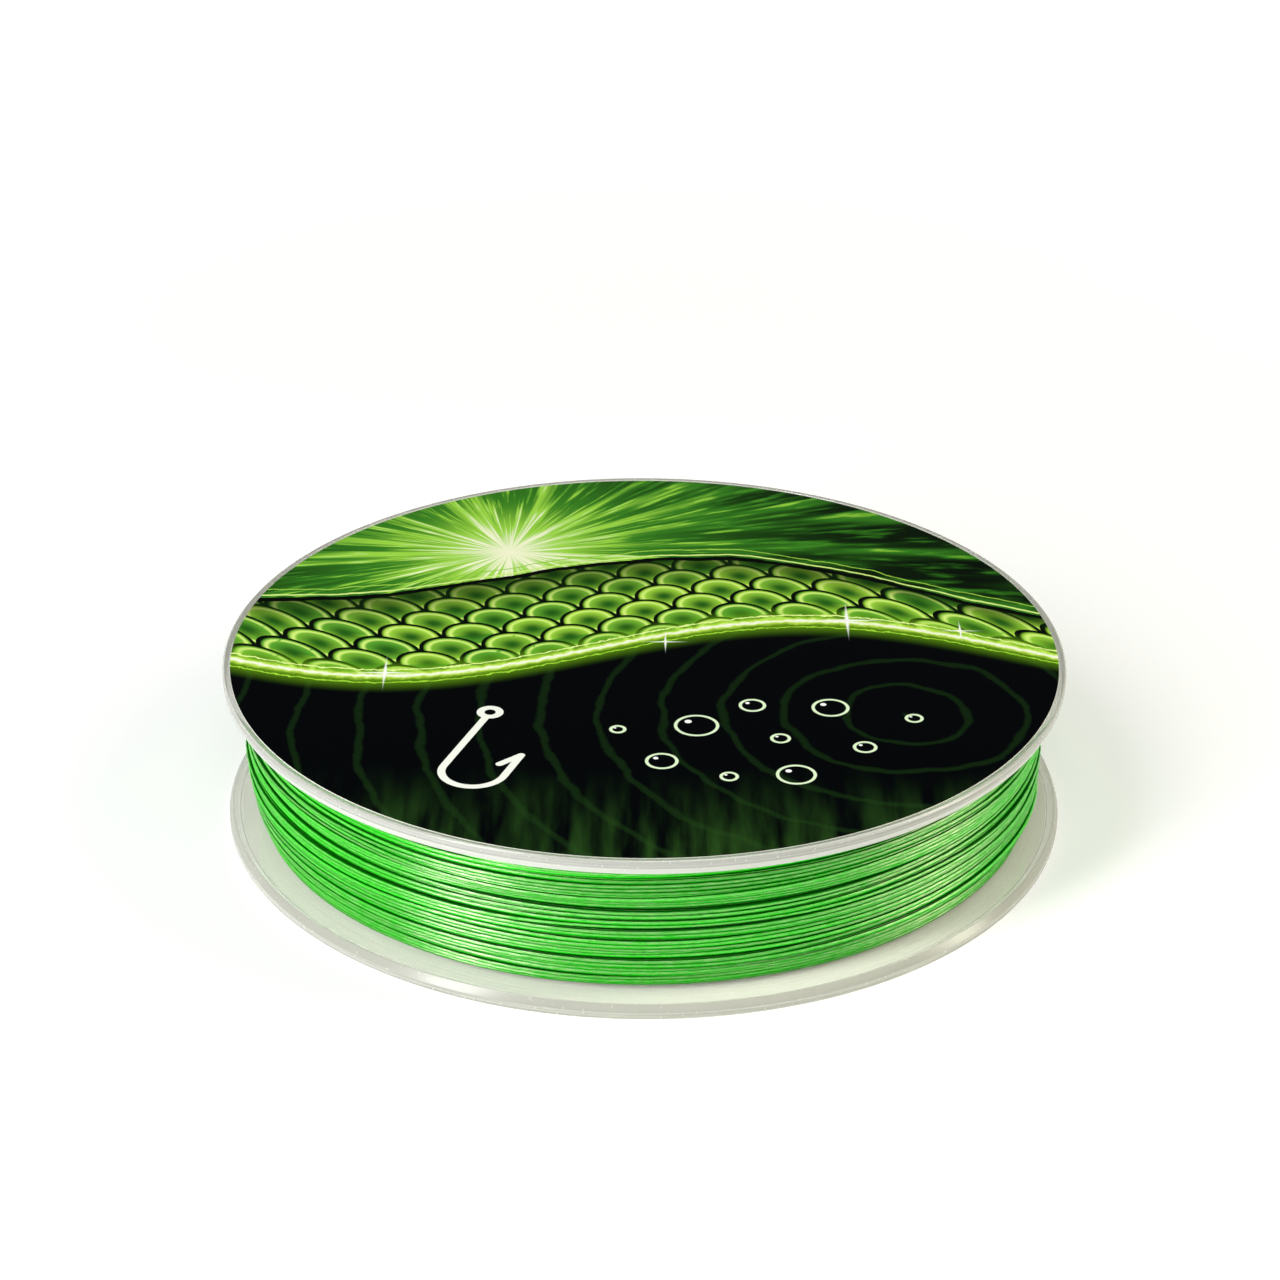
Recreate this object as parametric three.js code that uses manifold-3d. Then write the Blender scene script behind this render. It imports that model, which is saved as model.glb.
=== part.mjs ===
// Fishing line spool: two clear flanged halves that snap together at a hollow hub, a printed
// label in the recess of each outer face, and braided line wound between the flanges.
// Millimetres, +Z up. The spool stands on its lower rim at z = 0, and turns about the Z axis.
import * as THREE from "three";
import { mergeVertices } from "three/addons/utils/BufferGeometryUtils.js";
import Module from "manifold-3d";

// Flanges
const FLANGE_R = 50; // outer radius of both flanges
const SPOOL_H = 20; // over both flanges
const FLANGE_T = 1.8; // thickness of a flange
const RIM_CHAMFER = 0.2; // broken edge between a rim and its outer face
const BEVEL_T = 0.9; // a rim's bevel towards the line takes this much of the thickness
const BEVEL_R = 0.45; // and draws the rim in by this much

// Labels
const TOP_WALL = 0.7; // rim left standing round the top label's recess
const BOTTOM_WALL = 1.4; // rim left standing round the bottom label's recess
const LABEL_T = 0.2; // thickness of the printed film
const RECESS_DEPTH = 0.25; // of the recess that a label lies in
const LABEL_PLAY = 0.2; // between a label's edges and its recess

// Hub
const BORE_R = 5; // hole for the spindle that the spool turns on
const BORE_LEAD = 0.4; // chamfer at the mouth of the bore
const SPINDLE_WALL = 1.4; // wall of the tube round the bore
const SPINDLE_SHORTFALL = 0.4; // the tube ends this far under the upper flange
const HUB_FACE_W = 2.6; // width of the flat ring round the bore's mouth
const ARBOR_R = 22; // outer radius of the barrel that the line is wound on
const ARBOR_WALL = 1.6; // wall of that barrel
const RIB_COUNT = 6; // ribs between the spindle tube and the barrel
const RIB_T = 1.2; // thickness of a rib
const SKIRT_WALL = 1.4; // wall of the upper half's skirt, which plugs into the barrel
const SKIRT_LEN = 8; // how far the skirt reaches below the upper flange
const SKIRT_SLOTS = 4; // slots that let the skirt spring inwards
const SLOT_W = 2.2; // width of a slot
const SLOT_ROOT = 1.6; // skirt left whole above a slot
const BEAD_OUT = 0.5; // how far the snap bead stands out of the skirt
const BEAD_H = 1; // height of the snap bead
const BEAD_UP = 1.6; // from the skirt's lower edge up to the bead
const COLLAR_WALL = 1.2; // wall of the collar that centres the spindle tube
const COLLAR_LEN = 3; // depth of that collar
const FIT = 0.3; // clearance between pieces that plug into or lie over each other

// Line
const LINE_D = 0.5; // diameter of the braid
const WOUND_MID_R = 47.3; // the wound line bulges to this radius at mid height
const WOUND_END_R = 46; // and falls off to this radius at each flange
const BULGE_POWER = 2; // how squarely the bulge falls off
const TURN_SPACE = 0.42; // least space between two turns of the outer layer
const TURNS_END = 105; // degrees from +X to where the outer layer starts and ends, at the back

// Tapes
const END_TAPE_T = 0.15; // thickness of the tape over the line's free end
const END_TAPE_H = 6; // height of that tape
const ANCHOR_TAPE_T = 0.2; // thickness of the tape that holds the line's start on the barrel
const ANCHOR_TAPE_H = 9; // width of that tape
const ANCHOR_TAPE_STEPS = 4; // facets of the barrel that it covers

// Facets
const ROUND_STEPS = 72; // round a moulded piece or a label
const LOOP_STEPS = 24; // round the wound line
const LINE_SIDES = 6; // of the braid
const CORE_LEVELS = 10; // up the bulge of the wound line
const EMBED = 0.5; // how deep joined solids run into each other

// Derived places
const UPPER_Z = SPOOL_H - FLANGE_T; // inner face of the upper flange
const TOP_LABEL_R = FLANGE_R - TOP_WALL - LABEL_PLAY;
const BOTTOM_LABEL_R = FLANGE_R - BOTTOM_WALL - LABEL_PLAY;
const BARREL_IN_R = ARBOR_R - ARBOR_WALL;
const TUBE_OUT_R = BORE_R + SPINDLE_WALL;
const TUBE_TOP_Z = UPPER_Z - SPINDLE_SHORTFALL;
const HUB_FACE_R = BORE_R + BORE_LEAD + HUB_FACE_W;
const SKIRT_OUT_R = BARREL_IN_R - FIT;
const SKIRT_IN_R = SKIRT_OUT_R - SKIRT_WALL;
const SKIRT_BOTTOM_Z = UPPER_Z - SKIRT_LEN;
const BEAD_R = SKIRT_OUT_R + BEAD_OUT;
const BEAD_Z = SKIRT_BOTTOM_Z + BEAD_UP;
const COLLAR_IN_R = TUBE_OUT_R + FIT;
const FACET_FLAT = Math.cos(Math.PI / LOOP_STEPS); // mid-facet radius over corner radius

// A closed profile of [radius, height] pairs, turned about the Z axis.
function turned(profile, steps) {
  const points = profile.map(([r, z]) => new THREE.Vector2(r, z));
  return new THREE.LatheGeometry(points, steps).rotateX(Math.PI / 2);
}

// The same profile seen from the other flange: heights are counted down from the spool's top.
function fromTop(profile) {
  return profile.map(([r, depth]) => [r, SPOOL_H - depth]).reverse();
}

// The rim and the outer face of a flange, from its label's recess out to the inner face.
function rimProfile(labelR) {
  return [
    [labelR + LABEL_PLAY, RECESS_DEPTH],
    [labelR + LABEL_PLAY, 0],
    [FLANGE_R - RIM_CHAMFER, 0],
    [FLANGE_R, RIM_CHAMFER],
    [FLANGE_R, FLANGE_T - BEVEL_T],
    [FLANGE_R - BEVEL_R, FLANGE_T],
  ];
}

const wasm = await Module();
wasm.setup();

function toSolid(geometry) {
  const bare = geometry.clone();
  bare.deleteAttribute("normal");
  bare.deleteAttribute("uv");
  const merged = mergeVertices(bare, 1e-4);
  const mesh = new wasm.Mesh({
    numProp: 3,
    vertProperties: new Float32Array(merged.attributes.position.array),
    triVerts: new Uint32Array(merged.index.array),
  });
  return new wasm.Manifold(mesh);
}

function toGeometry(solid) {
  const mesh = solid.getMesh();
  const geometry = new THREE.BufferGeometry();
  const positions = new THREE.BufferAttribute(mesh.vertProperties, 3);
  geometry.setAttribute("position", positions);
  geometry.setIndex(new THREE.BufferAttribute(mesh.triVerts, 1));
  geometry.computeVertexNormals();
  return geometry;
}

// A box that runs radially from one radius to another, at an angle round the Z axis.
function radialBox(innerR, outerR, width, lowZ, highZ, angle) {
  const box = new THREE.BoxGeometry(outerR - innerR, width, highZ - lowZ);
  box.translate((innerR + outerR) / 2, 0, (lowZ + highZ) / 2);
  return box.rotateZ(angle);
}

// Lower half: flange, barrel with the groove for the snap bead, spindle tube and ribs.
function lowerHalf() {
  const grooveR = BEAD_R + FIT;
  const grooveLow = BEAD_Z - FIT;
  const grooveHigh = BEAD_Z + BEAD_H + FIT;
  const body = toSolid(
    turned(
      [
        [BORE_R, BORE_LEAD],
        [BORE_R + BORE_LEAD, 0],
        [HUB_FACE_R, 0],
        [HUB_FACE_R, RECESS_DEPTH],
        ...rimProfile(BOTTOM_LABEL_R),
        [ARBOR_R, FLANGE_T],
        [ARBOR_R, UPPER_Z],
        [BARREL_IN_R, UPPER_Z],
        [BARREL_IN_R, grooveHigh],
        [grooveR, grooveHigh],
        [grooveR, grooveLow],
        [BARREL_IN_R, grooveLow],
        [BARREL_IN_R, FLANGE_T],
        [TUBE_OUT_R, FLANGE_T],
        [TUBE_OUT_R, TUBE_TOP_Z],
        [BORE_R, TUBE_TOP_Z],
        [BORE_R, BORE_LEAD],
      ],
      ROUND_STEPS,
    ),
  );
  const innerR = TUBE_OUT_R - EMBED;
  const outerR = BARREL_IN_R + EMBED;
  const ribTop = SKIRT_BOTTOM_Z - FIT;
  let half = body;
  for (let i = 0; i < RIB_COUNT; i += 1) {
    const angle = (i * 2 * Math.PI) / RIB_COUNT;
    const rib = radialBox(innerR, outerR, RIB_T, FLANGE_T - EMBED, ribTop, angle);
    half = half.add(toSolid(rib));
  }
  return toGeometry(half);
}

// Upper half: closed flange, slotted skirt with the snap bead, and the spindle tube's collar.
function upperHalf() {
  const body = toSolid(
    turned(
      [
        [0, UPPER_Z],
        [COLLAR_IN_R, UPPER_Z],
        [COLLAR_IN_R, UPPER_Z - COLLAR_LEN],
        [COLLAR_IN_R + COLLAR_WALL, UPPER_Z - COLLAR_LEN],
        [COLLAR_IN_R + COLLAR_WALL, UPPER_Z],
        [SKIRT_IN_R, UPPER_Z],
        [SKIRT_IN_R, SKIRT_BOTTOM_Z],
        [SKIRT_OUT_R, SKIRT_BOTTOM_Z],
        [SKIRT_OUT_R, BEAD_Z],
        [BEAD_R, BEAD_Z + BEAD_H / 2],
        [BEAD_R, BEAD_Z + BEAD_H],
        [SKIRT_OUT_R, BEAD_Z + BEAD_H],
        [SKIRT_OUT_R, UPPER_Z],
        ...fromTop(rimProfile(TOP_LABEL_R)),
        [0, SPOOL_H - RECESS_DEPTH],
      ],
      ROUND_STEPS,
    ),
  );
  const slotLow = SKIRT_BOTTOM_Z - EMBED;
  const slotHigh = UPPER_Z - SLOT_ROOT;
  let half = body;
  for (let i = 0; i < SKIRT_SLOTS; i += 1) {
    const angle = ((i + 0.5) * 2 * Math.PI) / SKIRT_SLOTS;
    const slot = radialBox(SKIRT_IN_R - EMBED, BEAD_R + EMBED, SLOT_W, slotLow, slotHigh, angle);
    half = half.subtract(toSolid(slot));
  }
  return toGeometry(half);
}

// Top label: a whole disc on the floor of the upper recess.
function topLabel() {
  const low = SPOOL_H - RECESS_DEPTH;
  const profile = [
    [0, low],
    [TOP_LABEL_R, low],
    [TOP_LABEL_R, low + LABEL_T],
    [0, low + LABEL_T],
  ];
  return turned(profile, ROUND_STEPS);
}

// Bottom label: a ring under the roof of the lower recess, open at the bore.
function bottomLabel() {
  const high = RECESS_DEPTH;
  const holeR = HUB_FACE_R + LABEL_PLAY;
  const profile = [
    [holeR, high - LABEL_T],
    [BOTTOM_LABEL_R, high - LABEL_T],
    [BOTTOM_LABEL_R, high],
    [holeR, high],
    [holeR, high - LABEL_T],
  ];
  return turned(profile, ROUND_STEPS);
}

// Radius of the wound line's surface at a height between the flanges.
function woundRadius(z) {
  const t = Math.abs((2 * z - SPOOL_H) / (SPOOL_H - 2 * FLANGE_T));
  return WOUND_MID_R - (WOUND_MID_R - WOUND_END_R) * Math.min(t, 1) ** BULGE_POWER;
}

// Corner radius of a faceted ring whose flats stay clear of the barrel, and the tape on it.
const ANCHOR_IN_R = (ARBOR_R + FIT) / FACET_FLAT;
const CORE_IN_R = ANCHOR_IN_R + ANCHOR_TAPE_T + FIT;

// The inner layers of line as one plain ring between the flanges, bulging at mid height.
function lineCore() {
  const profile = [[CORE_IN_R, FLANGE_T]];
  for (let i = 0; i <= CORE_LEVELS; i += 1) {
    const z = FLANGE_T + ((UPPER_Z - FLANGE_T) * i) / CORE_LEVELS;
    profile.push([woundRadius(z) - LINE_D - FIT, z]);
  }
  profile.push([CORE_IN_R, UPPER_Z], [CORE_IN_R, FLANGE_T]);
  return turned(profile, LOOP_STEPS);
}

// The outer layer of line: one unbroken helix up the bulge. Each end turns square to a flange
// and runs straight for one diameter, to a small gap from it.
const CLIMB_LOW = FLANGE_T + FIT + LINE_D;
const CLIMB_HIGH = UPPER_Z - FIT - LINE_D;
const TURNS = Math.floor((CLIMB_HIGH - CLIMB_LOW) / (LINE_D + TURN_SPACE));
const PITCH = (CLIMB_HIGH - CLIMB_LOW) / TURNS;

function radial(angle) {
  return new THREE.Vector3(Math.cos(angle), Math.sin(angle), 0);
}

function alongTurn(angle) {
  return new THREE.Vector3(-Math.sin(angle), Math.cos(angle), 0);
}

// Stations along the outer layer: a centre, the outward direction, and the section's other axis.
function turnStations() {
  const up = new THREE.Vector3(0, 0, 1);
  const start = THREE.MathUtils.degToRad(TURNS_END);
  const stations = [];
  for (let i = 0; i <= TURNS * LOOP_STEPS; i += 1) {
    const angle = start + (i * 2 * Math.PI) / LOOP_STEPS;
    const z = CLIMB_LOW + (PITCH * i) / LOOP_STEPS;
    const out = radial(angle);
    const centre = out.clone().multiplyScalar(woundRadius(z) - LINE_D / 2);
    centre.z = z;
    stations.push({ centre, out, side: up.clone() });
  }
  const along = alongTurn(start);
  const [first, last] = [stations[0], stations[stations.length - 1]];
  for (const corner of [first, last]) corner.side.sub(along);
  const endOf = (corner, step) => ({
    centre: corner.centre.clone().addScaledVector(up, step),
    out: corner.out,
    side: along.clone().negate(),
  });
  return [endOf(first, -LINE_D), ...stations, endOf(last, LINE_D)];
}

// The least gap between two turns, from station to station at least half a turn apart.
function leastTurnGap(stations) {
  let least = Infinity;
  for (let i = 0; i < stations.length; i += 1) {
    for (let j = i + LOOP_STEPS / 2; j < stations.length; j += 1) {
      least = Math.min(least, stations[i].centre.distanceTo(stations[j].centre));
    }
  }
  return least - LINE_D;
}

function lineOuterTurns() {
  const stations = turnStations();
  console.log(`${TURNS} turns, least gap between them ${leastTurnGap(stations).toFixed(3)} mm`);
  const positions = [];
  const index = [];
  for (const { centre, out, side } of stations) {
    for (let k = 0; k < LINE_SIDES; k += 1) {
      const a = (k * 2 * Math.PI) / LINE_SIDES;
      const point = centre.clone();
      point.addScaledVector(out, (Math.cos(a) * LINE_D) / 2);
      point.addScaledVector(side, (Math.sin(a) * LINE_D) / 2);
      positions.push(...point);
    }
  }
  for (let i = 0; i + 1 < stations.length; i += 1) {
    for (let k = 0; k < LINE_SIDES; k += 1) {
      const a = i * LINE_SIDES + k;
      const b = i * LINE_SIDES + ((k + 1) % LINE_SIDES);
      index.push(a, a + LINE_SIDES, b, b, a + LINE_SIDES, b + LINE_SIDES);
    }
  }
  const lastRing = (stations.length - 1) * LINE_SIDES;
  for (let k = 1; k + 1 < LINE_SIDES; k += 1) {
    index.push(0, k, k + 1);
    index.push(lastRing, lastRing + k + 1, lastRing + k);
  }
  return closedGeometry(positions, index);
}

function closedGeometry(positions, index) {
  const geometry = new THREE.BufferGeometry();
  geometry.setAttribute("position", new THREE.Float32BufferAttribute(positions, 3));
  geometry.setIndex(index);
  geometry.computeVertexNormals();
  return geometry;
}

// A thin closed strip on the facets of the wound line or the barrel. radiusAt gives the corner
// radius of its inner side at a height, and fromStep and steps count facets from +X.
function facetStrip(radiusAt, thickness, fromStep, steps, lowZ, highZ, levels) {
  const positions = [];
  for (const lift of [0, thickness]) {
    for (let j = 0; j <= levels; j += 1) {
      const z = lowZ + ((highZ - lowZ) * j) / levels;
      for (let i = 0; i <= steps; i += 1) {
        const angle = ((fromStep + i) * 2 * Math.PI) / LOOP_STEPS;
        const point = radial(angle).multiplyScalar(radiusAt(z) + lift);
        positions.push(point.x, point.y, z);
      }
    }
  }
  const row = steps + 1;
  const shell = row * (levels + 1);
  const index = [];
  const quad = (a, b, c, d) => index.push(a, b, c, a, c, d);
  for (let j = 0; j < levels; j += 1) {
    for (let i = 0; i < steps; i += 1) {
      const a = j * row + i;
      quad(a, a + row, a + row + 1, a + 1);
      quad(shell + a, shell + a + 1, shell + a + row + 1, shell + a + row);
    }
    const left = j * row;
    const right = left + steps;
    quad(left, shell + left, shell + left + row, left + row);
    quad(right, right + row, shell + right + row, shell + right);
  }
  for (let i = 0; i < steps; i += 1) {
    const low = i;
    const high = levels * row + i;
    quad(low, low + 1, shell + low + 1, shell + low);
    quad(high, shell + high, shell + high + 1, high + 1);
  }
  return closedGeometry(positions, index);
}

// Tape over the line's free end, at the back: it ends at the corner where the outer layer ends.
function endTape() {
  const levels = 4;
  const highZ = UPPER_Z - FIT;
  const overLine = (z) => woundRadius(z) + FIT;
  const lastStep = Math.round((TURNS_END * LOOP_STEPS) / 360);
  return facetStrip(overLine, END_TAPE_T, lastStep - 1, 1, highZ - END_TAPE_H, highZ, levels);
}

// Tape that holds the line's start on the barrel, under the inner layers.
function anchorTape() {
  const lowZ = (SPOOL_H - ANCHOR_TAPE_H) / 2;
  const onBarrel = () => ANCHOR_IN_R;
  const highZ = lowZ + ANCHOR_TAPE_H;
  return facetStrip(onBarrel, ANCHOR_TAPE_T, 0, ANCHOR_TAPE_STEPS, lowZ, highZ, 1);
}

const clearPlastic = { color: 0xe4e6dc, roughness: 0.12, transparent: true, opacity: 0.55 };
const labelFilm = { color: 0x0b120c, roughness: 0.4 };
const whiteFilm = { color: 0xe8e9e4, roughness: 0.45 };
const greenBraid = { color: 0x31ad2d, roughness: 0.6 };
const clearTape = { color: 0xf0f0ea, roughness: 0.3, transparent: true, opacity: 0.6 };

const spool = new THREE.Group();

function addPiece(name, geometry, finish) {
  const material = new THREE.MeshStandardMaterial({ metalness: 0, ...finish });
  const mesh = new THREE.Mesh(geometry, material);
  mesh.name = name;
  spool.add(mesh);
}

addPiece("lower_half", lowerHalf(), clearPlastic);
addPiece("upper_half", upperHalf(), clearPlastic);
addPiece("top_label", topLabel(), labelFilm);
addPiece("bottom_label", bottomLabel(), whiteFilm);
addPiece("line_inner_layers", lineCore(), greenBraid);
addPiece("line_outer_turns", lineOuterTurns(), greenBraid);
addPiece("end_tape", endTape(), clearTape);
addPiece("anchor_tape", anchorTape(), clearTape);

export default spool;
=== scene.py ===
import math

import bpy
import numpy as np
from mathutils import Matrix, Vector


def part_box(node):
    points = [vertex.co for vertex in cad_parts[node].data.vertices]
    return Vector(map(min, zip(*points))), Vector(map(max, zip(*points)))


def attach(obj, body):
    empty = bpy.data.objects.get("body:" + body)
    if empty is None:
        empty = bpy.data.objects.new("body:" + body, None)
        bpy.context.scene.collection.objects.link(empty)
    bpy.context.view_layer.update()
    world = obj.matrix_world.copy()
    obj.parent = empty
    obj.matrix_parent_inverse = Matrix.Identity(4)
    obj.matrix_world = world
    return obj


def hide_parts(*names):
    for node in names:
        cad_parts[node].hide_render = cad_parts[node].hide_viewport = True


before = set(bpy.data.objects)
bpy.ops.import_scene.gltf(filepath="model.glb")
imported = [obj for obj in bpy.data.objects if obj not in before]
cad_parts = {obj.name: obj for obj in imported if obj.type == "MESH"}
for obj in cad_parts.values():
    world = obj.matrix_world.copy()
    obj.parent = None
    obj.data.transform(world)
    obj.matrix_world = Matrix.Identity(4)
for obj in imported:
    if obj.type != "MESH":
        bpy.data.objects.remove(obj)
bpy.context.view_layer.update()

# Fishing line spool on a white studio floor. Metres, +Z up, in the CAD model's own frame. Places
# inside the materials and prints are in millimetres, as object_point() gives them.
MM = 0.001

# ---------------------------------------------------------------- sizes from the frame
lower_half_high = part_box("lower_half")[1]
upper_half_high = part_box("upper_half")[1]
top_label_low, top_label_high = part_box("top_label")
bottom_label_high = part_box("bottom_label")[1]
layers_low, layers_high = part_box("line_inner_layers")
FLANGE_R = float(lower_half_high[0])
SPOOL_H = float(upper_half_high[2])
LOWER_FACE = float(layers_low[2])  # inner face of the lower flange
UPPER_FACE = float(layers_high[2])  # inner face of the upper flange
FLANGE_T = LOWER_FACE
TOP_LABEL_R = float(top_label_high[0])
BOTTOM_LABEL_R = float(bottom_label_high[0])
LABEL_TOP = float(top_label_high[2])
LABEL_FLOOR = float(top_label_low[2])
RECESS_DEPTH = SPOOL_H - LABEL_FLOOR
LABEL_T = LABEL_TOP - LABEL_FLOOR

# ---------------------------------------------------------------- sizes named as in the CAD model
RIM_CHAMFER = 0.2 * MM
BEVEL_T = 0.9 * MM
BEVEL_R = 0.45 * MM
LABEL_PLAY = 0.2 * MM
BORE_R = 5 * MM
BORE_LEAD = 0.4 * MM
SPINDLE_WALL = 1.4 * MM
SPINDLE_SHORTFALL = 0.4 * MM
HUB_FACE_W = 2.6 * MM
ARBOR_R = 22 * MM
ARBOR_WALL = 1.6 * MM
RIB_COUNT = 6
RIB_T = 1.2 * MM
SKIRT_WALL = 1.4 * MM
SKIRT_LEN = 8 * MM
SKIRT_SLOTS = 4
SLOT_W = 2.2 * MM
SLOT_ROOT = 1.6 * MM
BEAD_OUT = 0.5 * MM
BEAD_H = 1 * MM
BEAD_UP = 1.6 * MM
COLLAR_WALL = 1.2 * MM
COLLAR_LEN = 3 * MM
FIT = 0.3 * MM
EMBED = 0.5 * MM
WOUND_MID_R = 47.3 * MM
WOUND_END_R = 46 * MM

# and what follows from them
TUBE_OUT_R = BORE_R + SPINDLE_WALL
TUBE_TOP = UPPER_FACE - SPINDLE_SHORTFALL
HUB_FACE_R = BORE_R + BORE_LEAD + HUB_FACE_W
BARREL_IN_R = ARBOR_R - ARBOR_WALL
SKIRT_OUT_R = BARREL_IN_R - FIT
SKIRT_IN_R = SKIRT_OUT_R - SKIRT_WALL
SKIRT_BOTTOM = UPPER_FACE - SKIRT_LEN
BEAD_R = SKIRT_OUT_R + BEAD_OUT
BEAD_Z = SKIRT_BOTTOM + BEAD_UP
COLLAR_IN_R = TUBE_OUT_R + FIT
COLLAR_OUT_R = COLLAR_IN_R + COLLAR_WALL

# ---------------------------------------------------------------- mesh helpers
ROUND_STEPS = 288  # round a moulded piece
CORNER_STEPS = 4  # round a filleted corner of a profile
MOST_REACH = 0.49  # of a profile's side, that one fillet may take up
SHARP = math.radians(28)  # faces that meet at more than this keep a sharp edge


def placed(name, data):
    """A new object in the scene, with this mesh, lamp or camera."""
    thing = bpy.data.objects.new(name, data)
    bpy.context.scene.collection.objects.link(thing)
    return thing


def new_object(name, vertices, faces, material):
    mesh = bpy.data.meshes.new(name)
    mesh.from_pydata([tuple(v) for v in vertices], [], faces)
    mesh.validate()
    mesh.shade_smooth()
    mesh.set_sharp_from_angle(angle=SHARP)
    mesh.materials.append(material)
    return placed(name, mesh)


def rounded(profile, closed):
    """A profile of (radius, height, fillet) corners as points, each filleted corner as an arc."""
    points = []
    count = len(profile)
    for i, (r, z, fillet) in enumerate(profile):
        here = Vector((r, z))
        inside = closed or 0 < i < count - 1
        if not fillet or not inside:
            points.append((r, z))
            continue
        before = Vector(profile[i - 1][:2]) - here
        after = Vector(profile[(i + 1) % count][:2]) - here
        half = before.angle(after) / 2
        reach = min(fillet / math.tan(half), MOST_REACH * before.length, MOST_REACH * after.length)
        radius = reach * math.tan(half)
        inward = (before.normalized() + after.normalized()).normalized()
        centre = here + inward * (radius / math.sin(half))
        start = here + before.normalized() * reach - centre
        end = here + after.normalized() * reach - centre
        sweep = start.angle_signed(end)
        for k in range(CORNER_STEPS + 1):
            turn = -sweep * k / CORNER_STEPS
            cosine, sine = math.cos(turn), math.sin(turn)
            across = centre.x + start.x * cosine - start.y * sine
            up = centre.y + start.x * sine + start.y * cosine
            points.append((across, up))
    return points


def turned(name, profile, material, steps=ROUND_STEPS):
    """A profile turned about the Z axis: a closed loop, or one that starts and ends on the axis."""
    on_axis = profile[0][0] == 0
    points = rounded(profile, closed=not on_axis)
    poles = [points[0], points[-1]] if on_axis else []
    ring = points[1:-1] if on_axis else points
    angles = np.arange(steps) * 2 * math.pi / steps
    radii = np.array([p[0] for p in ring])
    heights = np.array([p[1] for p in ring])
    vertices = np.empty((len(ring), steps, 3))
    vertices[:, :, 0] = radii[:, None] * np.cos(angles)
    vertices[:, :, 1] = radii[:, None] * np.sin(angles)
    vertices[:, :, 2] = heights[:, None]
    vertices = vertices.reshape(-1, 3).tolist()
    faces = []
    rows = len(ring) - 1 if on_axis else len(ring)
    for i in range(rows):
        here = i * steps
        there = ((i + 1) % len(ring)) * steps
        for k in range(steps):
            n = (k + 1) % steps
            faces.append((here + k, here + n, there + n, there + k))
    if on_axis:
        first, last = len(vertices), len(vertices) + 1
        vertices += [(0, 0, height) for _, height in poles]
        top = (len(ring) - 1) * steps
        for k in range(steps):
            n = (k + 1) % steps
            faces.append((first, n, k))
            faces.append((last, top + k, top + n))
    return new_object(name, vertices, faces, material)


def box_solid(low, high, angle):
    """A box between two corners, turned round the Z axis."""
    corners = [(x, y, z) for x in (low[0], high[0]) for y in (low[1], high[1]) for z in (low[2], high[2])]
    faces = [(0, 1, 3, 2), (4, 6, 7, 5), (0, 4, 5, 1), (2, 3, 7, 6), (0, 2, 6, 4), (1, 5, 7, 3)]
    mesh = bpy.data.meshes.new("cutter")
    mesh.from_pydata(corners, [], faces)
    mesh.transform(Matrix.Rotation(angle, 4, "Z"))
    return placed("cutter", mesh)


def combine(piece, solids, operation):
    """Joins the solids to the piece or cuts them out of it, removes them, and gives the piece."""
    for solid in solids:
        modifier = piece.modifiers.new("combine", "BOOLEAN")
        modifier.operation = operation
        modifier.solver = "EXACT"
        modifier.object = solid
    evaluated = piece.evaluated_get(bpy.context.evaluated_depsgraph_get())
    mesh = bpy.data.meshes.new_from_object(evaluated)
    piece.modifiers.clear()
    piece.data = mesh
    mesh.shade_smooth()
    mesh.set_sharp_from_angle(angle=SHARP)
    for solid in solids:
        bpy.data.objects.remove(solid)
    return piece


# ---------------------------------------------------------------- node helpers
def srgb(code):
    """A colour written as six hex digits, as Blender's linear red, green, blue and alpha."""
    parts = [int(code[i : i + 2], 16) / 255 for i in (0, 2, 4)]
    linear = [c / 12.92 if c <= 0.04045 else ((c + 0.055) / 1.055) ** 2.4 for c in parts]
    return (*linear, 1)


def feed(tree, slot, term):
    """Links a node's input to a field or a socket, or sets it to a number or a colour."""
    if isinstance(term, Field):
        term = term.socket
    if isinstance(term, bpy.types.NodeSocket):
        tree.links.new(term, slot)
    else:
        slot.default_value = term


class Field:
    """A number worked out at each point of a surface. Arithmetic on it makes shader nodes."""

    def __init__(self, tree, socket):
        self.tree = tree
        self.socket = socket

    def math(self, operation, *others):
        node = self.tree.nodes.new("ShaderNodeMath")
        node.operation = operation
        for slot, term in zip(node.inputs, (self, *others)):
            feed(self.tree, slot, term)
        return Field(self.tree, node.outputs[0])

    def __add__(self, other):
        return self.math("ADD", other)

    def __radd__(self, other):
        return self.math("ADD", other)

    def __sub__(self, other):
        return self.math("SUBTRACT", other)

    def __rsub__(self, other):
        return (self * -1) + other

    def __mul__(self, other):
        return self.math("MULTIPLY", other)

    def __rmul__(self, other):
        return self.math("MULTIPLY", other)

    def __truediv__(self, other):
        return self.math("DIVIDE", other)

    def sin(self):
        return self.math("SINE")

    def cos(self):
        return self.math("COSINE")

    def abs(self):
        return self.math("ABSOLUTE")

    def floor(self):
        return self.math("FLOOR")

    def fraction(self):
        return self.math("FRACT")

    def low(self, other):
        return self.math("MINIMUM", other)

    def high(self, other):
        return self.math("MAXIMUM", other)

    def step(self, start, end):
        """0 before start, 1 after end, and a smooth rise between them. start may be the larger."""
        node = self.tree.nodes.new("ShaderNodeMapRange")
        node.interpolation_type = "SMOOTHSTEP"
        feed(self.tree, node.inputs["Value"], self)
        node.inputs["From Min"].default_value = min(start, end)
        node.inputs["From Max"].default_value = max(start, end)
        node.inputs["To Min"].default_value = 0 if start < end else 1
        node.inputs["To Max"].default_value = 1 if start < end else 0
        return Field(self.tree, node.outputs[0])

    def hump(self, width):
        """1 where the field is 0, falling to 0 at the given distance from it."""
        return self.abs().step(width, 0)


def length_of(a, b):
    return (a * a + b * b).math("SQRT")


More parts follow.
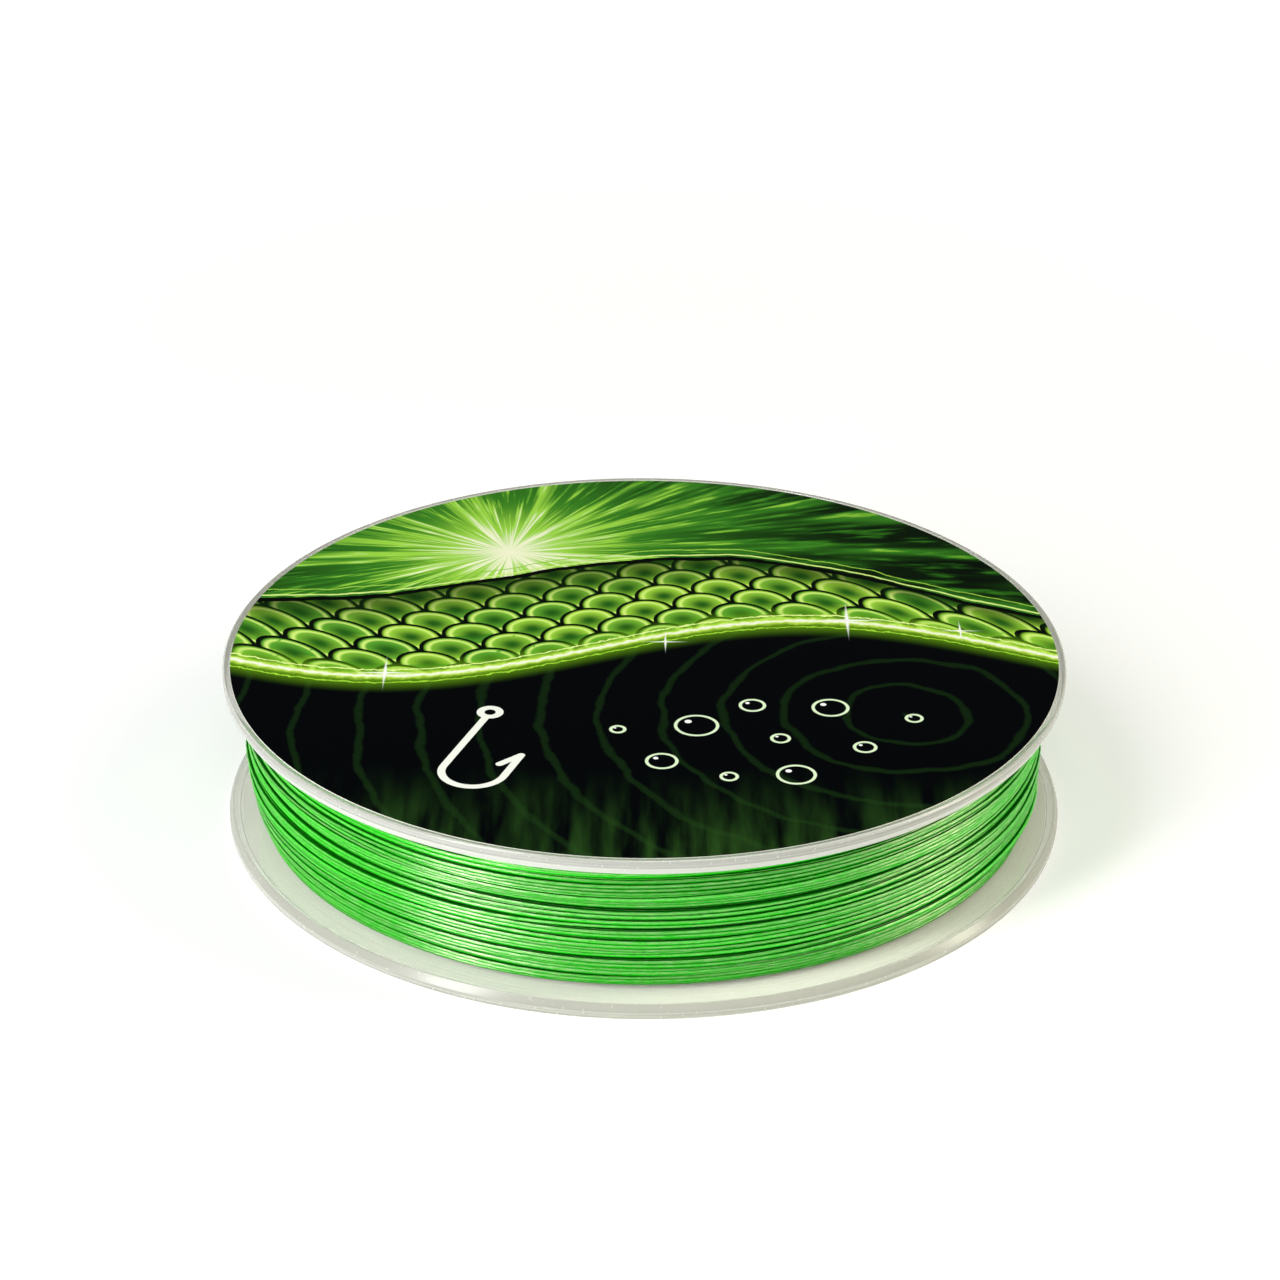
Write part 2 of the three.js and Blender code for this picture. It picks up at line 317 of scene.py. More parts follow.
def noise(tree, vector, scale, detail=2, distortion=0):
    """Smooth noise between 0 and 1, mostly near 0.5."""
    node = tree.nodes.new("ShaderNodeTexNoise")
    node.inputs["Scale"].default_value = scale
    node.inputs["Detail"].default_value = detail
    node.inputs["Distortion"].default_value = distortion
    feed(tree, node.inputs["Vector"], vector)
    return Field(tree, node.outputs["Fac"])


def vector_of(tree, x, y, z=0):
    node = tree.nodes.new("ShaderNodeCombineXYZ")
    for slot, term in zip(node.inputs, (x, y, z)):
        feed(tree, slot, term)
    return node.outputs[0]


def parts_of(tree, vector):
    """A vector socket's x, y and z as fields."""
    node = tree.nodes.new("ShaderNodeSeparateXYZ")
    feed(tree, node.inputs[0], vector)
    return [Field(tree, socket) for socket in node.outputs]


def object_point(tree):
    """The surface point in millimetres in the object's frame, as x, y and z fields."""
    place = tree.nodes.new("ShaderNodeTexCoord")
    return [part * (1 / MM) for part in parts_of(tree, place.outputs["Object"])]


def mixed(tree, share, first, second):
    """first where the share is 0 and second where it is 1. Each is a colour or a colour socket."""
    node = tree.nodes.new("ShaderNodeMix")
    node.data_type = "RGBA"
    feed(tree, node.inputs["Factor"], share)
    for name, term in (("A", first), ("B", second)):
        slot = next(s for s in node.inputs if s.name == name and s.type == "RGBA")
        feed(tree, slot, term)
    return next(s for s in node.outputs if s.type == "RGBA")


def seen_by(tree, *rays):
    """1 for a ray of one of these kinds, and 0 for any other."""
    path = tree.nodes.new("ShaderNodeLightPath")
    seen = Field(tree, path.outputs[rays[0]])
    for ray in rays[1:]:
        seen = seen.high(Field(tree, path.outputs[ray]))
    return seen


def new_material(name):
    material = bpy.data.materials.new(name)
    material.use_nodes = True
    tree = material.node_tree
    return material, tree, tree.nodes["Principled BSDF"]


def set_finish(tree, shader, finish):
    """Feeds a shader's inputs by name."""
    for name, term in finish.items():
        feed(tree, shader.inputs[name], term)


def set_surface(tree, socket):
    feed(tree, tree.nodes["Material Output"].inputs["Surface"], socket)


def add_bump(tree, shader, height, distance, strength):
    bump = tree.nodes.new("ShaderNodeBump")
    bump.inputs["Distance"].default_value = distance
    bump.inputs["Strength"].default_value = strength
    feed(tree, bump.inputs["Height"], height)
    feed(tree, shader.inputs["Normal"], bump.outputs["Normal"])


# ---------------------------------------------------------------- clear plastic
MIDDLE = SPOOL_H / MM / 2  # height between the halves
WALL_START = FLANGE_R / MM - 0.2  # outside this radius the mould is turned, not polished
WALL_BLEND = 0.1
SEAM = 0.03  # how far the bevel's finish runs past the bevel
BEVEL_START = (FLANGE_R - BEVEL_R) / MM - SEAM
BEVEL_BLEND = 0.05
BEVEL_LEVEL = (SPOOL_H / 2 - BEVEL_T) / MM  # of a bevel's outer edge, from the middle
GATE_MARKS = [(math.radians(31), 0.85), (math.radians(-12), 0.55)]  # bearing from the front, half width
GATE_Z = SPOOL_H / MM - 0.6
GATE_FLATNESS = 0.35  # height of a gate mark over its width
POLISHED = 0.04  # roughness


def gate_mark(x, y, z, bearing, half_width):
    """A small flat oval on the upper rim, where the moulding was cut from its feed."""
    gate_x, gate_y = math.sin(bearing) * FLANGE_R / MM, -math.cos(bearing) * FLANGE_R / MM
    across = length_of(x - gate_x, y - gate_y) / half_width
    upright = (z - GATE_Z) / (half_width * GATE_FLATNESS)
    return length_of(across, upright).step(1, 0.8)


def clear_plastic():
    """Clear polystyrene, a little milky, with a finely turned finish round the rims. The lower rim is
    painted greyer as painted shade, and the upper bevel near white as a painted reflection.
    """
    material, tree, shader = new_material("clear_polystyrene")
    x, y, z = object_point(tree)
    point = vector_of(tree, x, y, z)
    waves = noise(tree, point, scale=0.35)
    scuffs = noise(tree, point, scale=3, detail=4, distortion=0.6)
    turned_lines = noise(tree, vector_of(tree, x * 0.02, y * 0.02, z * 4), scale=1)
    bands = turned_lines.step(0.35, 0.65)

    out = length_of(x, y)
    wall = out.step(WALL_START - WALL_BLEND, WALL_START)
    bevel = (z - MIDDLE).abs().step(BEVEL_LEVEL + SEAM, BEVEL_LEVEL - SEAM)
    bevel = bevel * out.step(BEVEL_START - BEVEL_BLEND, BEVEL_START)
    rim = wall.high(bevel)
    upper = z.step(MIDDLE - 2, MIDDLE + 2)  # 0 on the lower half's rim and 1 on the upper half's

    polished = mixed(tree, scuffs.step(0.5, 0.8), srgb("e2e2de"), srgb("d8d9d4"))
    # the lower rim's wall is painted greyer than the upper's: painted shade on the same plastic
    lower_wall_shaded = mixed(tree, bands, srgb("bcbcb2"), srgb("dcdcd4"))
    upper_wall = mixed(tree, bands, srgb("d8d8d0"), srgb("f4f4ee"))
    base = mixed(tree, wall, polished, mixed(tree, upper, lower_wall_shaded, upper_wall))
    # the upper bevel is painted near white, a painted reflection of the bright floor, and the lower one
    # grey, painted shade; the bevel lets less light through, so these colours show
    base = mixed(tree, bevel, base, mixed(tree, upper, srgb("b6b6ac"), srgb("fafaf4")))
    finish = {
        "Base Color": base,
        "Transmission Weight": 0.74 - 0.34 * rim - 0.25 * bevel,
        "Roughness": POLISHED + 0.05 * scuffs.step(0.55, 0.75) + 0.2 * rim,
        "IOR": 1.585,
    }
    set_finish(tree, shader, finish)
    gates = sum(gate_mark(x, y, z, *mark) for mark in GATE_MARKS)
    relief = waves + turned_lines * wall * 0.5 + gates * 3
    add_bump(tree, shader, relief, distance=0.02 * MM, strength=0.4)

    # shadow rays pass through with a tint, so the lamps light what lies under the plastic
    through = tree.nodes.new("ShaderNodeBsdfTransparent")
    through.inputs["Color"].default_value = srgb("e8e8e2")
    mix = tree.nodes.new("ShaderNodeMixShader")
    terms = (seen_by(tree, "Is Shadow Ray"), shader.outputs[0], through.outputs[0])
    for slot, term in zip(mix.inputs, terms):
        feed(tree, slot, term)
    set_surface(tree, mix.outputs[0])
    return material


# ---------------------------------------------------------------- braid
BRAID_LAY = 1.5  # millimetres of line over which the plait moves round by one pair of carriers
BRAID_PAIRS = 4
CROWN_TILT = math.radians(25)  # the painted highlight and the stronger gloss lie a little above the crown


def braid():
    """Braided line. The UV map's u runs along the line in millimetres, and v round it."""
    material, tree, shader = new_material("green_braid")
    uv = tree.nodes.new("ShaderNodeUVMap")
    uv.uv_map = "along"
    along, around, _ = parts_of(tree, uv.outputs[0])
    lay = along * (2 * math.pi / BRAID_LAY)
    spin = around * (2 * math.pi * BRAID_PAIRS)
    weave = (lay + spin).sin().abs().high((lay - spin).sin().abs())
    fibres = noise(tree, vector_of(tree, along * 0.3, around * 14), scale=2)
    strokes = noise(tree, vector_of(tree, along * 0.8, around * 9), scale=2, detail=3)
    tone = noise(tree, vector_of(tree, along * 0.013, 0.5), scale=1)
    bearing = around * (2 * math.pi)
    outward = bearing.cos()  # 1 along the strand's crown, -1 where it lies on others
    crown = (bearing - CROWN_TILT).cos()

    base = mixed(tree, tone.step(0.3, 0.7), srgb("08b406"), srgb("13f20b"))
    base = mixed(tree, strokes.step(0.6, 0.35) * 0.5, base, srgb("058003"))
    # painted highlight: a pale band of colour along the upper crown, where the lamps' light would catch it
    painted_crown_highlight = crown.step(0.92, 0.995) * (fibres.step(0.4, 0.6) * 0.7 + 0.3)
    base = mixed(tree, painted_crown_highlight * 0.2, base, srgb("a8ff80"))
    # painted shade in the plait's crevices, between the picks
    base = mixed(tree, weave.step(0.8, 0.3) * 0.35, base, srgb("058003"))
    # painted shade: the strand's sides, where it lies against its neighbours, are coloured near black-green
    base = mixed(tree, outward.step(0.8, 0.35) * 0.9, base, srgb("024002"))
    streaks = crown.step(0.64, 0.97) * (fibres.step(0.4, 0.6) * 0.75 + 0.25)
    finish = {
        "Base Color": base,
        # the gloss is full on the band above the crown and dimmed to dark green below it, which keeps the
        # floor's reflection off the strands' lower sides
        "Specular Tint": mixed(tree, streaks, srgb("0c380c"), srgb("fcffdc")),
        "Specular IOR Level": 1,
        "IOR": 2.3,
        "Roughness": 0.29,
        "Anisotropic": 0.85,  # the fibres spread a highlight across the line
        "Anisotropic Rotation": 0.25,
    }
    set_finish(tree, shader, finish)
    relief = weave * 0.6 + fibres + strokes * 0.6
    add_bump(tree, shader, relief, distance=0.03 * MM, strength=1)
    return material


# ---------------------------------------------------------------- prints
# On a label, x runs to the right and y to the back.
INK_EDGE = 0.06  # over which a printed line fades out
SUN = (-17, 27)
SUN_GLOW = 16  # its glow falls to about a third over this distance
WATER_LEVEL = 0.5
WATER_SWING = 7.5
WATER_TURN = 0.062  # radians of swing for each millimetre along
WATER_START = 0.35  # radians of swing at the middle
FLANK_HEIGHT = 17  # over the waterline
FLANK_SWING = 7
FLANK_TURN = 0.052
FLANK_START = 2.4
SCALE_WIDTH = 7.2
SCALE_ALONG = (0.94, 0.34)  # what a millimetre to the right, and one to the back, add along a row
SCALE_FALL = 0.1  # how far a row falls towards the waterline with each millimetre to the right
RINGS = (30, -16)
BUBBLES = [
    (6, -19, 2.4),
    (12.5, -14, 1.4),
    (15.5, -22, 1.0),
    (2, -27.5, 1.7),
    (-3, -20, 0.8),
    (21.5, -14.5, 2.0),
    (25, -24, 1.2),
    (9.5, -31, 0.9),
    (17, -30.5, 2.1),
    (31, -17, 0.9),
]  # x, y and radius
GLINTS = [(-30.5, -6.2, 5.0), (24.5, 8.2, 6.0), (2.5, 2.2, 3.5), (38, 5.5, 3.5)]  # x, y and reach
HOOK = (-19, -30)  # centre of its bend
HOOK_TURN = math.radians(-20)
HOOK_BEND = 3.6
HOOK_SHANK = 12.5
HOOK_POINT = 0.42 * HOOK_SHANK  # height of the point over the bend's centre
HOOK_BARB = (1.5, 0.2 * HOOK_SHANK)  # the barb's end: inwards from the point, and its height
HOOK_EYE = 1.1
BOTTOM_SCALES = 24  # round the bore
BOTTOM_FADE = (16, 42)  # radii between which the scales sink into the dark
BORE_LINE = (10.5, 0.4)  # radius and half width
EDGE_LINE = (44.5, 0.25)


def inked(tree, art, share, code):
    """The art with one ink laid over it, as thickly as the share says."""
    return mixed(tree, share, art, srgb(code))


def stroke(distance, half_width):
    """1 on a printed line of this half width, with an edge as soft as ink on film."""
    return distance.step(half_width + INK_EDGE, half_width)


def ring_of(x, y, centre, radius, half_width):
    return stroke((length_of(x - centre[0], y - centre[1]) - radius).abs(), half_width)


def segment_distance(x, y, start, end):
    """How far each point of the print lies from a straight stroke, in millimetres."""
    dx, dy = end[0] - start[0], end[1] - start[1]
    from_x, from_y = x - start[0], y - start[1]
    share = ((from_x * dx + from_y * dy) / (dx * dx + dy * dy)).high(0).low(1)
    return length_of(from_x - share * dx, from_y - share * dy)


def hook_distance(x, y):
    """How far a point lies from a plain fish hook with its eye up: shank, bend, point and barb."""
    cosine, sine = math.cos(HOOK_TURN), math.sin(HOOK_TURN)
    from_x, from_y = x - HOOK[0], y - HOOK[1]
    hx = from_x * cosine + from_y * sine
    hy = from_y * cosine - from_x * sine
    tip = (HOOK_BEND, HOOK_POINT)
    shank = segment_distance(hx, hy, (-HOOK_BEND, HOOK_SHANK), (-HOOK_BEND, 0))
    point = segment_distance(hx, hy, (HOOK_BEND, 0), tip)
    barb = segment_distance(hx, hy, tip, (HOOK_BEND - HOOK_BARB[0], HOOK_BARB[1]))
    eye = (length_of(hx + HOOK_BEND, hy - HOOK_SHANK - HOOK_EYE) - HOOK_EYE).abs()
    arc = (length_of(hx, hy) - HOOK_BEND).abs() + hy.high(0) * 10  # only the circle's lower half
    return shank.low(point).low(barb).low(eye).low(arc)


def fish_scales(x, y, width):
    """Overlapping scales in rows. Gives how far out in its own scale a point lies, from 0 to 1,
    and a number between 0 and 1 that differs from scale to scale."""
    height = width / 2
    row = (y / height).floor()
    shift = (row / 2).fraction() * width
    across = (x + shift) / width
    near_x = (across.fraction() - 0.5) * width
    near_y = y - row * height
    near = length_of(near_x, near_y) / height
    far = length_of(near_x.abs() - height, near_y - height) / height
    own = near.step(1.0001, 0.9999)
    reach = near * own + far * (1 - own)
    column = across.floor() * own + ((across + 0.5).floor() + 0.37) * (1 - own)
    chance = ((column * 12.99 + (row + 1 - own) * 78.23).sin() * 437.5).fraction()
    return reach, chance


def scale_colours(tree, reach, chance, grain):
    """Green scales with a light rim of hairlines and a black outline."""
    fill = mixed(tree, chance, srgb("5cab32"), srgb("a4dc42"))
    fill = inked(tree, fill, reach.step(0.75, 0.05), "246016")
    hairlines = (reach - 0.72).hump(0.12) * grain.step(0.35, 0.6)
    fill = inked(tree, fill, hairlines, "d6f67e")
    return inked(tree, fill, reach.step(0.8, 0.9), "050a05")


def sunrise(tree, x, y):
    """A dark sky lit by the sun's rays. Gives the art, and the noise of the thin rays."""
    from_x, from_y = x - SUN[0], y - SUN[1]
    distance = length_of(from_x, from_y)
    bearing = from_y.math("ARCTAN2", from_x)
    broad_rays = noise(tree, vector_of(tree, bearing * 3, distance * 0.01), scale=3)
    thin_rays = noise(tree, vector_of(tree, bearing * 9, distance * 0.03), scale=4, detail=3)
    glow = (distance / -SUN_GLOW).math("EXPONENT")
    light = glow * 1.1 + broad_rays.step(0.42, 0.66) * 0.34 + thin_rays.step(0.5, 0.72) * 0.3
    art = mixed(tree, light.step(0.0, 0.5), srgb("050d06"), srgb("3a8624"))
    art = inked(tree, art, light.step(0.4, 0.8), "a2e04a")
    return inked(tree, art, light.step(0.75, 1.15), "fbffdc"), thin_rays


def scale_flank(tree, art, x, y, above, soft_noise, grain):
    """A flank of fish scales from the waterline up to a swinging back, lined in black and lime."""
    back = FLANK_HEIGHT + FLANK_SWING * (x * FLANK_TURN + FLANK_START).sin() + (soft_noise - 0.5) * 2
    along = x * SCALE_ALONG[0] + y * SCALE_ALONG[1]
    reach, chance = fish_scales(along, above + x * SCALE_FALL, SCALE_WIDTH)
    scales = scale_colours(tree, reach, chance, grain)
    scales = inked(tree, scales, (above / back).step(0.55, 1.0) * 0.8, "0b2508")
    on_flank = above.step(0, 0.1) * (back - above).step(0, 0.1)
    art = mixed(tree, on_flank, art, scales)
    art = inked(tree, art, stroke((above - back).abs(), 0.45), "030603")
    art = inked(tree, art, stroke((above - back - 1.1).abs(), 0.16), "d6f58a")
    return inked(tree, art, stroke((above - back - 2.2 - soft_noise).abs(), 0.1), "9bd04a")


def dark_water(tree, art, x, y, above, soft_noise):
    """Dark water in front, with rings on it and a dim green light at the near edge."""
    waves = (length_of(x - RINGS[0], y - RINGS[1]) * 0.9 + soft_noise * 3).sin()
    water = mixed(tree, waves.step(0.86, 1.0) * 0.4, srgb("020406"), srgb("1c3a16"))
    weed = noise(tree, vector_of(tree, x * 0.35, y * 0.04), scale=1, detail=4)
    near_edge = (y + soft_noise * 8).step(-24, -46) * weed.step(0.35, 0.75)
    water = inked(tree, water, near_edge * 0.75, "315a22")
    return mixed(tree, above.step(0, -0.1), art, water)


def bright_waterline(tree, art, above, fine_noise):
    """The waterline: a white core in a lime glow, with a thin strand on either side."""
    ripple = above + (fine_noise - 0.5) * 1.2
    art = inked(tree, art, above.hump(4.5) * 0.55, "7fc31c")
    art = inked(tree, art, stroke((ripple - 1.5).abs(), 0.12), "e8ff9a")
    art = inked(tree, art, stroke((ripple + 1.7).abs(), 0.1), "a6e03c")
    art = inked(tree, art, ripple.hump(1.3), "d8ff5e")
    return inked(tree, art, ripple.hump(0.55), "fdfff0")


def bubbles_and_glints(tree, art, x, y):
    """Bubbles with a spot of light on each, and stars with four thin points."""
    for centre_x, centre_y, size in BUBBLES:
        art = inked(tree, art, ring_of(x, y, (centre_x, centre_y), size, 0.16), "dff5cf")
        spot = length_of(x - centre_x + size * 0.4, y - centre_y - size * 0.4)
        art = inked(tree, art, stroke(spot, size * 0.16), "ffffff")
    for centre_x, centre_y, size in GLINTS:
        dx, dy = (x - centre_x).abs(), (y - centre_y).abs()
        star = ((dx * 14).low(dx + dy * 13).low(dy * 14) + dx + dy) / size
        art = inked(tree, art, star.step(1, 0.25), "ffffff")
    return art


def top_print():
    """A sunrise over a flank of fish scales, a bright waterline, and bubbles beside a hook."""
    material, tree, shader = new_material("top_label_print")
    x, y, _ = object_point(tree)
    flat = vector_of(tree, x, y)
    soft_noise = noise(tree, flat, scale=0.12, detail=4)
    fine_noise = noise(tree, flat, scale=0.9, detail=4)
    waterline = WATER_LEVEL + WATER_SWING * (x * WATER_TURN + WATER_START).sin()
    above = y - waterline
    art, thin_rays = sunrise(tree, x, y)
    grain = thin_rays.step(0.3, 0.7) + fine_noise
    art = scale_flank(tree, art, x, y, above, soft_noise, grain)
    art = dark_water(tree, art, x, y, above, soft_noise)
    art = bright_waterline(tree, art, above, fine_noise)
    art = bubbles_and_glints(tree, art, x, y)
    art = inked(tree, art, stroke(hook_distance(x, y), 0.42), "f4f8ee")
    set_finish(tree, shader, {"Base Color": art, "Roughness": 0.5, "Specular IOR Level": 0.02})
    return material


def bottom_print():
    """Rings of scales round the bore, fading into the dark at the edge."""
    material, tree, shader = new_material("bottom_label_print")
    x, y, _ = object_point(tree)
    distance = length_of(x, y)
    turn = y.math("ARCTAN2", x) / (2 * math.pi)
    reach, chance = fish_scales(turn * (BOTTOM_SCALES * SCALE_WIDTH), distance, SCALE_WIDTH)
    fine_noise = noise(tree, vector_of(tree, x, y), scale=0.9, detail=4)
    art = scale_colours(tree, reach, chance, fine_noise)
    art = inked(tree, art, distance.step(*BOTTOM_FADE), "04070a")
    art = inked(tree, art, ring_of(x, y, (0, 0), *BORE_LINE), "d8ff5e")
    art = inked(tree, art, ring_of(x, y, (0, 0), *EDGE_LINE), "8fc432")
    set_finish(tree, shader, {"Base Color": art, "Roughness": 0.5, "Specular IOR Level": 0.2})
    return material


def label_back():
    """The glued side of a label: white film with a faint grain."""
    material, tree, shader = new_material("label_back")
    x, y, _ = object_point(tree)
    grain = noise(tree, vector_of(tree, x, y), scale=4, detail=4)
    base = mixed(tree, grain.step(0.3, 0.8), srgb("f2f2ec"), srgb("e6e6de"))
    set_finish(tree, shader, {"Base Color": base, "Roughness": 0.6})
    return material


def clear_tape():
    """Clear film with milky spots where it hasn't wetted the line."""
    material, tree, shader = new_material("clear_tape")
    x, y, z = object_point(tree)
    patches = noise(tree, vector_of(tree, x, y, z), scale=0.8, detail=3, distortion=0.4)
    spots = patches.step(0.5, 0.7)
    finish = {
        "Base Color": mixed(tree, spots, srgb("f6f6f0"), srgb("e6e8e0")),
        "Transmission Weight": 0.92 - 0.25 * spots,
        "Roughness": 0.08 + 0.1 * spots,
        "IOR": 1.45,
    }
    set_finish(tree, shader, finish)
    add_bump(tree, shader, spots, distance=0.02 * MM, strength=0.25)
    return material


PLASTIC = clear_plastic()
BRAID = braid()
TOP_PRINT = top_print()
BOTTOM_PRINT = bottom_print()
LABEL_BACK = label_back()
TAPE = clear_tape()

# ---------------------------------------------------------------- mouldings
EDGE_ROUND = 0.15 * MM  # fillet of a plain corner
BEVEL_ROUND = 0.12 * MM  # at both ends of a rim's bevel
LIP_ROUND = 0.06 * MM  # at the mouth of a label's recess
FOOT_ROUND = 0.05 * MM  # and in its corners
ROOT_ROUND = 0.4 * MM  # where the barrel and the tube leave the lower flange
PLUG_ROUND = 0.3 * MM  # where the skirt and the collar leave the upper flange


def rim_profile(label_r):
    return [
        (label_r + LABEL_PLAY, RECESS_DEPTH, FOOT_ROUND),
        (label_r + LABEL_PLAY, 0, LIP_ROUND),
        (FLANGE_R - RIM_CHAMFER, 0, EDGE_ROUND),
        (FLANGE_R, RIM_CHAMFER, EDGE_ROUND),
        (FLANGE_R, FLANGE_T - BEVEL_T, BEVEL_ROUND),
        (FLANGE_R - BEVEL_R, FLANGE_T, BEVEL_ROUND),
    ]


def lower_half():
    groove_r = BEAD_R + FIT
    groove_low = BEAD_Z - FIT
    groove_high = BEAD_Z + BEAD_H + FIT
    profile = [
        (BORE_R, BORE_LEAD, EDGE_ROUND),
        (BORE_R + BORE_LEAD, 0, EDGE_ROUND),
        (HUB_FACE_R, 0, LIP_ROUND),
        (HUB_FACE_R, RECESS_DEPTH, FOOT_ROUND),
        *rim_profile(BOTTOM_LABEL_R),
        (ARBOR_R, FLANGE_T, ROOT_ROUND),
        (ARBOR_R, UPPER_FACE, EDGE_ROUND),
        (BARREL_IN_R, UPPER_FACE, EDGE_ROUND),
        (BARREL_IN_R, groove_high, 0),
        (groove_r, groove_high, 0),
        (groove_r, groove_low, 0),
        (BARREL_IN_R, groove_low, 0),
        (BARREL_IN_R, FLANGE_T, ROOT_ROUND),
        (TUBE_OUT_R, FLANGE_T, ROOT_ROUND),
        (TUBE_OUT_R, TUBE_TOP, EDGE_ROUND),
        (BORE_R, TUBE_TOP, EDGE_ROUND),
    ]
    piece = turned("lower_half_moulding", profile, PLASTIC)
    low = (TUBE_OUT_R - EMBED, -RIB_T / 2, FLANGE_T - EMBED)
    high = (BARREL_IN_R + EMBED, RIB_T / 2, SKIRT_BOTTOM - FIT)
    ribs = [box_solid(low, high, i * 2 * math.pi / RIB_COUNT) for i in range(RIB_COUNT)]
    return combine(piece, ribs, "UNION")


def upper_half():
    rim = [(r, SPOOL_H - depth, fillet) for r, depth, fillet in reversed(rim_profile(TOP_LABEL_R))]
    profile = [
        (0, UPPER_FACE, 0),
        (COLLAR_IN_R, UPPER_FACE, PLUG_ROUND),
        (COLLAR_IN_R, UPPER_FACE - COLLAR_LEN, EDGE_ROUND),
        (COLLAR_OUT_R, UPPER_FACE - COLLAR_LEN, EDGE_ROUND),
        (COLLAR_OUT_R, UPPER_FACE, PLUG_ROUND),
        (SKIRT_IN_R, UPPER_FACE, PLUG_ROUND),
        (SKIRT_IN_R, SKIRT_BOTTOM, EDGE_ROUND),
        (SKIRT_OUT_R, SKIRT_BOTTOM, EDGE_ROUND),
        (SKIRT_OUT_R, BEAD_Z, 0),
        (BEAD_R, BEAD_Z + BEAD_H / 2, EDGE_ROUND),
        (BEAD_R, BEAD_Z + BEAD_H, EDGE_ROUND),
        (SKIRT_OUT_R, BEAD_Z + BEAD_H, 0),
        (SKIRT_OUT_R, UPPER_FACE, 0),
        *rim,
        (0, LABEL_FLOOR, 0),
    ]
    piece = turned("upper_half_moulding", profile, PLASTIC)
    low = (SKIRT_IN_R - EMBED, -SLOT_W / 2, SKIRT_BOTTOM - EMBED)
    high = (BEAD_R + EMBED, SLOT_W / 2, UPPER_FACE - SLOT_ROOT)
    slots = [box_solid(low, high, (i + 0.5) * 2 * math.pi / SKIRT_SLOTS) for i in range(SKIRT_SLOTS)]
    return combine(piece, slots, "DIFFERENCE")


# ---------------------------------------------------------------- labels
CUT_ROUND = 0.04 * MM  # fillet of a label's cut edge
GLUE_DEPTH = 0.01 * MM  # the glue wets the plastic, so the back of a label shows through it


def bare_film(piece, printed_side):
    """Leaves only the printed side, which faces up (1) or down (-1), in its colours."""
    piece.data.materials.append(LABEL_BACK)
    for face in piece.data.polygons:
        if face.normal.z * printed_side < 0.5:
            face.material_index = 1
    return piece


def top_label():
    profile = [
        (0, LABEL_FLOOR - GLUE_DEPTH, 0),
        (TOP_LABEL_R, LABEL_FLOOR - GLUE_DEPTH, CUT_ROUND),
        (TOP_LABEL_R, LABEL_TOP, CUT_ROUND),
        (0, LABEL_TOP, 0),
    ]
    return bare_film(turned("top_label_film", profile, TOP_PRINT), 1)


def bottom_label():
    low = RECESS_DEPTH - LABEL_T
    hole_r = HUB_FACE_R + LABEL_PLAY
    profile = [
        (hole_r, low, CUT_ROUND),
        (BOTTOM_LABEL_R, low, CUT_ROUND),
        (BOTTOM_LABEL_R, RECESS_DEPTH + GLUE_DEPTH, CUT_ROUND),
        (hole_r, RECESS_DEPTH + GLUE_DEPTH, CUT_ROUND),
    ]
    return bare_film(turned("bottom_label_film", profile, BOTTOM_PRINT), -1)


# ---------------------------------------------------------------- wound line
LINE_END = math.radians(103)  # bearing of the free end from +X: at the back, under its film
STATIONS = 120  # round one turn
TURNS_UP = 30  # in one pass from flange to flange
PASSES = 3
SHOWN_TURNS = 72
STRAND_SIDES = 8
STRAND_W = 0.54 * MM
STRAND_T = 0.52 * MM
STACK_RISE = 0.72  # rise of a strand that lies right on another, as a share of its thickness
LAYER_RISE = 0.70  # what one pass adds to the radius, as a share of that thickness
SETTLING = 0.15 * MM  # the first pass starts this much lower, to leave room for uneven turns
GIVE = 0.4  # how much of a pile above the winding's outline is left
DRIFT = 0.3  # how far the pitch strays from its mean, as a share
WANDER = 0.24 * MM  # how far a turn strays from an even pitch
LEAN = math.radians(22)  # how far the section rolls to one side
WIDTH_CHANGE = 0.08  # how far the section's width strays, as a share
STIFFNESS = 11  # stations over which the line evens out what it lies on
LAYING_SEED = 7
SECTION_SEED = 11
LAYERS_INSIDE = 1 * MM  # from the barrel to the ring that stands for the layers below
LAYERS_LEVELS = 25  # up that ring
LAYERS_STEPS = 144  # round it


def wound_radius(z):
    """Radius of the wound line's outline at a height between the flanges."""
    t = np.abs((2 * z - SPOOL_H) / (SPOOL_H - 2 * FLANGE_T)).clip(0, 1)
    return WOUND_MID_R - (WOUND_MID_R - WOUND_END_R) * t**2


def smooth_random(rng, count, spacing):
    """A smooth random curve of values from -1 to 1, with a knot every so many points."""
    knots = rng.uniform(-1, 1, count // spacing + 4)
    at = np.arange(count) / spacing
    i = at.astype(int)
    f = at - i
    f = f * f * (3 - 2 * f)
    return knots[i] * (1 - f) + knots[i + 1] * f


def line_heights(rng, count):
    """Where along the axis the line runs: up and down between the flanges, unevenly."""
    low = LOWER_FACE + STRAND_W / 2
    high = UPPER_FACE - STRAND_W / 2
    speed = 1 + DRIFT * smooth_random(rng, count, STATIONS)
    travel = np.cumsum(speed)
    travel = travel / travel[-1] * PASSES
    wave = np.abs((travel + 1) % 2 - 1)
    wander = WANDER * smooth_random(rng, count, STATIONS // 4)
    wander += WANDER / 2 * smooth_random(rng, count, STATIONS // 9)
    return (low + (high - low) * wave + wander).clip(low, high)


